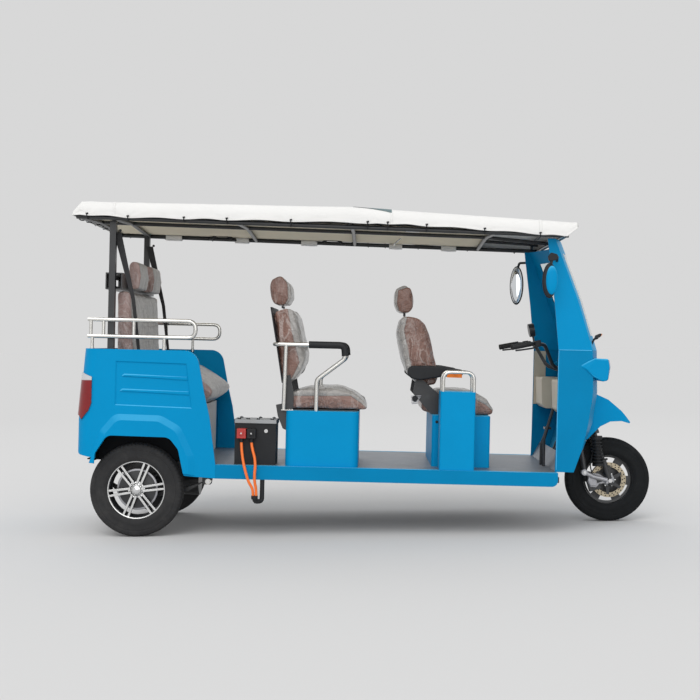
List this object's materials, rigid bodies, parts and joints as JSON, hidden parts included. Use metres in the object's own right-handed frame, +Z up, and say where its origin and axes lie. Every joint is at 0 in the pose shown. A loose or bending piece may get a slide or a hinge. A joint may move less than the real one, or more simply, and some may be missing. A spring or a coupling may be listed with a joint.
{
  "type": "electric auto rickshaw",
  "caption": "Open-sided three-wheel electric passenger rickshaw with rows of seats, fabric roof on a tube frame, guard rails, fork steering and spoked alloy wheels",
  "frame": {"origin": "on the ground under the middle of the vehicle's length and width", "axes": "+X forward, +Y to the left, +Z up"},
  "size_m": [3.412, 1.2422, 1.9562],
  "materials": {
    "blue_paint": "gloss",
    "black_frame": "satin",
    "stainless": "polished",
    "chequer_steel": "worn",
    "grey_paint": "satin",
    "canvas": "matte",
    "liner_cloth": "matte",
    "seat_leather": "wrapped in clear film",
    "black_plastic": "matte",
    "socket_plastic": "gloss",
    "cream_plastic": "satin",
    "lamp_red": "gloss",
    "webbing": "woven",
    "cable_orange": "matte",
    "tyre_rubber": "matte",
    "alloy": "machined",
    "disc_steel": "machined",
    "windscreen_glass": "clear",
    "grip_rubber": "matte"
  },
  "bodies": {
    "chassis": {"arm_pads": "black_plastic", "battery": "black_plastic", "battery_sockets": "socket_plastic", "cable_conduit": "black_plastic", "charge_cable_front": "cable_orange", "charge_cable_rear": "cable_orange", "chassis_frame": "black_frame", "dash": "cream_plastic", "door_mirrors": "blue_paint", "driver_seat_back": "seat_leather", "driver_seat_cushion": "seat_leather", "floor_plate": "chequer_steel", "hand_rails": "stainless", "headlamps": "blue_paint", "headrests": "seat_leather", "leaf_springs": "black_frame", "lower_shield": "blue_paint", "luggage_rails": "stainless", "middle_seat_back": "seat_leather", "middle_seat_cushion": "seat_leather", "mudguard": "blue_paint", "pedals": "black_frame", "rear_axle": "black_frame", "rear_door": "blue_paint", "rear_inner_body": "grey_paint", "rear_pillars": "black_frame", "rear_seat_back": "seat_leather", "rear_seat_cushion": "seat_leather", "rear_side_left": "blue_paint", "rear_side_right": "blue_paint", "roof_cover": "canvas", "roof_frame": "black_frame", "roof_liner": "liner_cloth", "seat_belts": "webbing", "seat_boxes": "blue_paint", "seat_frames": "black_frame", "side_sills": "blue_paint", "tail_lamps": "lamp_red", "upper_shield": "blue_paint", "windshield": "windscreen_glass"},
    "rear_wheel_right": {"rear_tyre_right": "tyre_rubber", "rear_rim_right": "alloy"},
    "rear_wheel_left": {"rear_tyre_left": "tyre_rubber", "rear_rim_left": "alloy"},
    "steering": {"fork": "black_frame", "fork_springs": "black_frame", "handlebar": "black_frame", "grips": "grip_rubber"},
    "front_wheel": {"front_tyre": "tyre_rubber", "front_rim": "black_frame", "brake_disc": "disc_steel"}
  },
  "joints": [
    {"name": "rear_wheel_right_turn", "type": "hinge", "parent": "chassis", "child": "rear_wheel_right", "pos_m": [-1.36904, -0.449, 0.272], "axis": [0, 1, 0], "continuous": true},
    {"name": "rear_wheel_left_turn", "type": "hinge", "parent": "chassis", "child": "rear_wheel_left", "pos_m": [-1.36904, 0.449, 0.272], "axis": [0, 1, 0], "continuous": true},
    {"name": "steering_turn", "type": "hinge", "parent": "chassis", "child": "steering", "pos_m": [1.42983, 0, 0.25115], "axis": [-0.2924, 0, 0.9563], "range_deg": [-35, 35]},
    {"name": "front_wheel_turn", "type": "hinge", "parent": "steering", "child": "front_wheel", "pos_m": [1.44896, 0, 0.257], "axis": [0, 1, 0], "continuous": true}
  ]
}
